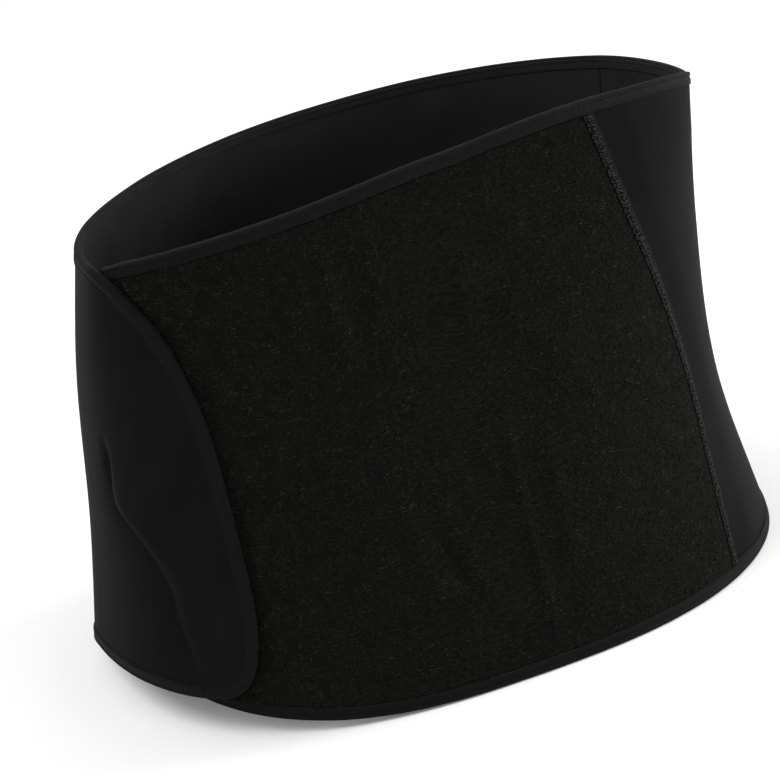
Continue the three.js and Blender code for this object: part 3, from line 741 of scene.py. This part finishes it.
def tapeOver(path, distance, inset, side):
    # the tape's face over the foam's face: a half superellipse at the fold, a rounded border and a stitched groove
    angle, height = onPath(path, distance, inset)
    cover = loopCover(angle, height)
    half = (layers["foam"] + cover) / 2 + binding["lift"]
    turn = np.clip(1 - inset / binding["foldReach"], 0, 1) ** binding["foldPower"]
    rounded = (1 - turn) ** (1 / binding["foldPower"])
    near = np.clip(1 - (layers["bindingWidth"] - inset) / binding["border"], 0, 1)
    border = 0.8 * binding["lift"] * (1 - np.sqrt(1 - near * near))
    stitchIn = np.interp(distance, path["length"], path["stitchIn"])
    puckered = 1 - tape["pucker"] * (0.5 + 0.5 * np.cos(2 * np.pi * distance / tape["stitch"]))
    depth = binding["groove"] * (0.65 + 0.35 * side)  # shallower on the inner leg
    groove = depth * puckered * np.exp(-((inset - stitchIn) / binding["grooveReach"]) ** 2)
    return (cover - layers["foam"]) / 2 + side * (half * rounded - border - groove)


def foldedTape(path, seed):  # a closed profile carried along the edge: outer leg, fold, inner leg, back along the foam
    ring = np.array(tape["ring"]) / 1000
    under = np.array(tape["under"]) / 1000
    s = path["length"][:, None]
    waver = np.random.default_rng(seed)
    slow = sum(np.sin(2 * np.pi * s / wave + waver.random() * 6.3) for wave in (0.031, 0.047, 0.083)) / 3
    wander = 0.00012 * slow * (ring > 0.003)
    swell = 0.00010 * slow * np.clip(1 - ring / 0.004, 0, 1)
    legs, overs = [], []
    for side in (1, -1):
        over = tapeOver(path, s, ring[None, :], side) + side * swell
        inset = ring[None, :] + wander
        order = slice(None) if side > 0 else slice(None, None, -1)
        legs.append(inset[:, order])
        overs.append(over[:, order])
    for side in (-1, 1):
        inset = under if side < 0 else under[::-1]
        face = -pinch(inset) + 0.00003 if side > 0 else -layers["foam"] + pinch(inset) - 0.00003
        legs.append(np.broadcast_to(inset, (len(s), len(under))))
        overs.append(np.broadcast_to(face, (len(s), len(under))))
    legs, overs = np.concatenate(legs, axis=1), np.concatenate(overs, axis=1)
    angle, height = onPath(path, s + 0 * legs, legs)
    points = wrapPoint(angle, height, overs)
    steps, around = legs.shape
    faces, caps = carriedFaces(np.arange(steps * around).reshape(steps, around))
    uv = np.stack([np.repeat(path["length"], around), legs.ravel()], -1)
    return points.reshape(-1, 3), faces, caps, uv


def tapePiece(name, path, seed, flip, node):
    points, faces, caps, uv = foldedTape(path, seed)
    if flip:
        faces, caps = faces[:, ::-1], caps[:, ::-1]
    piece = makeMesh(name, points, faces, uv, 70, caps)
    dress(piece, bindingTape, "binding_tape", node)
    piece.data.materials.append(tapeInsidePaintedLight)  # on the inner leg: a lighter copy of the tape, painted light inside the binder
    outer, around = len(tape["ring"]), 2 * (len(tape["ring"]) + len(tape["under"]))
    inside = np.arange(len(faces)) % around >= outer + tape["paintedLightFrom"]
    chosen = np.concatenate([inside, np.zeros(len(caps), bool)])
    piece.data.polygons.foreach_set("material_index", chosen.astype(np.int32))
    return piece


topPath = edgePath(np.concatenate([topAngle[:-1], edgeAngle]), np.concatenate([topLine(topAngle[:-1]), edgeHeight]),
                   1, len(topAngle))
bottomPath = edgePath(cornerAngle, bottomEdge(cornerAngle), -1)
topTape = tapePiece("topBinding", topPath, 5, False, "top_binding")
bottomTape = tapePiece("bottomBinding", bottomPath, 9, True, "bottom_binding")
print("tapes made")

# Stitches in the tapes' grooves
stitch = {"length": 0.0023, "radius": 0.00019, "steps": 7, "sides": 6, "arch": 0.00014}


def stitchRow(path, side):  # short arched threads, one for each stitch, whose ends dip into the tape
    count = int(path["length"][-1] / tape["stitch"]) - 1
    t = np.linspace(0, 1, stitch["steps"])[None, :]
    distance = (np.arange(count)[:, None] + 0.5) * tape["stitch"] + (t - 0.5) * stitch["length"]
    inset = np.interp(distance, path["length"], path["stitchIn"])
    arch = stitch["arch"] * np.sin(np.pi * t) ** 0.6 - 0.0001
    angle, height = onPath(path, distance, inset)
    line = wrapPoint(angle, height, tapeOver(path, distance, inset, side) + side * arch)
    outward = wrapPoint(angle, height, 0.01 + 0 * height) - wrapPoint(angle, height, 0 * height)
    return line, outward / np.linalg.norm(outward, axis=-1, keepdims=True)


def stitches(name, path):
    rowsOf = [stitchRow(path, side) for side in (1, -1)]
    line = np.concatenate([row[0] for row in rowsOf])
    outward = np.concatenate([row[1] for row in rowsOf])
    taper = stitch["radius"] * np.array([0.45, 0.9, 1, 1, 1, 0.9, 0.45])
    return dress(makeTubes(name, line, outward, taper, stitch["sides"]), tapeThread, "binding_tape")


topStitches = stitches("topStitches", topPath)
bottomStitches = stitches("bottomStitches", bottomPath)
print("tape stitches made")

# Overlocked strip along the end of the loop fabric
strip = {"columns": 12, "rows": 240, "pitch": 0.0026, "radius": 0.00023, "steps": 9, "sides": 5, "seed": 17,
         "dome": 0.0004, "wide": 0.74, "jitter": 0.3}


def stripPlace(across, height):  # a place across the strip: 0 at the loop fabric, 1 at the smooth foam
    near = seamLine(seams["loop"], layers["pieceGap"])(height)
    far = seamLine(seams["loop"], layers["pieceGap"] + layers["stripWidth"])(height)
    return near + (far - near) * across


columns = np.linspace(0, 1, strip["columns"])
angle, height = gridPlaces(seamLine(seams["loop"], layers["pieceGap"]),
                           seamLine(seams["loop"], layers["pieceGap"] + layers["stripWidth"]),
                           columns, np.linspace(0, 1, strip["rows"]), clear, clear)
dome = strip["dome"] * (np.sin(np.pi * columns)[:, None] ** 0.5 - 1)
edgeStrip = sheetSolid("edgeStrip", angle, height, underLoop + dome - 0.0002, layers["pieceGap"])
dress(edgeStrip, foamCloth, "overlock_thread", "panel_edge_strip")


def overlockThreads():
    # a zigzag of arched threads over the strip's inner part, and looped threads along the loop fabric's edge
    randomBar = np.random.default_rng(strip["seed"])
    low, high = clear + 0.0004, float(topEdge(np.array(seams["loop"]["angle"][-1]))) - clear - 0.0002
    count = int((high - low) / strip["pitch"])
    pitch = (high - low) / count
    t = np.linspace(0, 1, strip["steps"])[None, :]
    base = low + np.arange(count)[:, None] * pitch
    shake = lambda size: (randomBar.random((count, 1)) - 0.5) * 2 * size
    lines, outs = [], []

    def add(across, height, over):
        height = np.clip(height, low - 0.001, high + 0.001)
        angle = stripPlace(across, height)
        lines.append(wrapPoint(angle, height, over))
        outs.append(wrapPoint(angle, height, over + 0.01) - lines[-1])

    jitter = strip["jitter"] * pitch
    arch = 0.00035 * np.sin(np.pi * t) - 0.0002 * np.abs(2 * t - 1) ** 3
    for way, start in ((1, 0.0), (-1, 0.5)):
        reach = strip["wide"] + shake(0.12)
        side = t if way > 0 else 1 - t
        height = base + (start + 0.5 * t) * pitch + shake(jitter)
        bow = 0.00035 * np.sin(2 * np.pi * t + shake(1.5))
        add(0.04 + (reach - 0.04) * side, height + bow, underLoop + arch + shake(0.00012))
    turn = 2 * np.pi * t * 0.86 + shake(0.8)
    size = 0.0008 + shake(0.0002)
    for across, squash in ((0.09, 0.1), (0.45, 0.13)):
        add(across + squash * np.cos(turn) + shake(0.05), base + size * np.sin(turn) + shake(jitter),
            underLoop + 0.0002 + 0.0002 * np.sin(np.pi * t) + shake(0.0001))
    line, out = np.concatenate(lines), np.concatenate(outs)
    return line, out / np.linalg.norm(out, axis=-1, keepdims=True)


line, outward = overlockThreads()
thickness = strip["radius"] * (0.8 + 0.2 * np.sin(np.pi * np.linspace(0, 1, strip["steps"])))
overlock = makeTubes("overlockThreads", line, outward, thickness, strip["sides"])
dress(overlock, overlockThread, "overlock_thread")
print("overlocked strip made")

# Zigzag threads that hold the butted panels together, on both faces
butted = {"pitch": 0.0024, "half": 0.0018, "radius": 0.00016, "steps": 6, "sides": 5}


def buttThreads():  # straight bars from one panel to the other, slanting up and down in turn
    start = float(seamLine(seams["side"], 0)(np.array([0.115]))[0])
    low, high = layers["bindingWidth"] + 0.001, float(topEdge(np.array(start))) - layers["bindingWidth"] - 0.001
    count = int((high - low) / butted["pitch"])
    t = np.linspace(0, 1, butted["steps"])[None, :]
    k = np.arange(count)[:, None]
    height = low + (k + t) * butted["pitch"]
    across = butted["half"] * (1 - 2 * t) * np.where(k % 2 == 0, 1, -1)
    angle = seamLine(seams["side"], 0)(height) + across / meanArc
    lines = [wrapPoint(angle, height, 0.00002 + 0 * height), wrapPoint(angle, height, -layers["foam"] - 0.00002)]
    outs = [wrapPoint(angle, height, 0.01) - lines[0], wrapPoint(angle, height, 0.01) - lines[0]]
    line, out = np.concatenate(lines), np.concatenate(outs)
    return line, out / np.linalg.norm(out, axis=-1, keepdims=True)


line, outward = buttThreads()
seamThreads = makeTubes("seamThreads", line, outward, butted["radius"], butted["sides"])
dress(seamThreads, tapeThread, "foam_cloth")

# Hook patch under the flap
hook = {"columns": (0.083, 0.209), "rows": (0.4375, 0.75), "steps": 30}
angle, height = gridPlaces(upright(closure["innerEnd"]), seamLine(seams["loop"], 0),
                           np.linspace(*hook["columns"], hook["steps"]), np.linspace(*hook["rows"], hook["steps"]),
                           clear, clear)
hookUnder = underLoop + layers["pieceGap"]
hookPatch = sheetSolid("hookPatch", angle, height, hookUnder + layers["hook"], hookUnder)
dress(hookPatch, hookTape, "hook_tape", "hook_patch")
print("seam and hook patch made")

# Floor, light and camera
stage = {"floor": 8.0, "floorTone": 0.72, "world": 1.0}


def paleFloor():  # one large level square under the binder
    half = stage["floor"] / 2
    points = np.array([(-half, -half, 0), (half, -half, 0), (half, half, 0), (-half, half, 0)])
    floor = makeMesh("floor", points, np.array([[0, 1, 2, 3]]), points[:, :2])
    material, shader = newMaterial("paleFloor", (stage["floorTone"],) * 3, 0.9, 0.1, 0, 0.5, (1, 1, 1))
    grain = addNode(material, "ShaderNodeTexNoise", Scale=3.0, Detail=2.0)
    join(material, addNode(material, "ShaderNodeTexCoord"), "Object", grain, "Vector")
    tone = stage["floorTone"]
    colourBetween(material, shader, grain, "Fac", (tone - 0.01,) * 3, (tone,) * 3)
    floor.data.materials.append(material)


def areaLight(name, place, target, size, power):  # a soft square light that faces its target
    data = bpy.data.lights.new(name, "AREA")
    data.shape = "RECTANGLE"
    data.size, data.size_y = size
    data.energy = power
    light = bpy.data.objects.new(name, data)
    bpy.context.scene.collection.objects.link(light)
    away = np.array(place) - np.array(target)
    light.location = place
    light.rotation_euler = (np.arctan2(np.hypot(away[0], away[1]), away[2]), 0, np.arctan2(away[0], -away[1]))


paleFloor()
world = bpy.data.worlds.new("studio")
world.use_nodes = True
world.node_tree.nodes["Background"].inputs["Color"].default_value = (1, 1, 1, 1)
world.node_tree.nodes["Background"].inputs["Strength"].default_value = stage["world"]
bpy.context.scene.world = world
areaLight("topSoft", (-1.1, -0.1, 1.7), (0, 0.05, 0.1), (1.2, 0.9), 24)
areaLight("rightSoft", (1.6, -0.2, 0.38), (0.1, 0, 0.12), (0.8, 0.7), 48)
areaLight("frontSoft", (0.7, -1.9, 0.5), (0, 0, 0.12), (1.0, 0.7), 12)

view = {"azimuth": -17.1, "elevation": 23.0, "roll": 11.0, "distance": 1.482, "height": 0.115, "focal": 3193,
        "frameWidth": 781, "offset": (-25.1, -10.1)}  # focal length and offset in the photograph's pixels


def photoCamera():  # stands on a sphere round the binder, looks a little past its middle, and is rolled
    a, e, roll = (view[name] * radians for name in ("azimuth", "elevation", "roll"))
    ahead = np.array([-np.sin(a) * np.cos(e), np.cos(a) * np.cos(e), -np.sin(e)])
    right = np.array([np.cos(a), np.sin(a), 0])
    up = np.cross(right, ahead)
    place = shift + (0, 0, view["height"]) - ahead * view["distance"]
    ahead = ahead + (right * view["offset"][0] + up * view["offset"][1]) / view["focal"]
    ahead /= np.linalg.norm(ahead)
    right -= ahead * (right @ ahead)
    right /= np.linalg.norm(right)
    up = np.cross(right, ahead)
    rolledRight = np.cos(roll) * right - np.sin(roll) * up
    rolledUp = np.sin(roll) * right + np.cos(roll) * up
    data = bpy.data.cameras.new("camera")
    data.sensor_width = 36
    data.lens = view["focal"] * data.sensor_width / view["frameWidth"]
    data.clip_start = 0.05
    camera = bpy.data.objects.new("camera", data)
    bpy.context.scene.collection.objects.link(camera)
    matrix = np.identity(4)
    matrix[:3, 0], matrix[:3, 1], matrix[:3, 2], matrix[:3, 3] = rolledRight, rolledUp, -ahead, place
    camera.matrix_world = matrix.T.tolist()  # Blender reads a plain list column by column
    bpy.context.scene.camera = camera


photoCamera()
bpy.context.scene.view_settings.view_transform = "Standard"
print("stage ready")
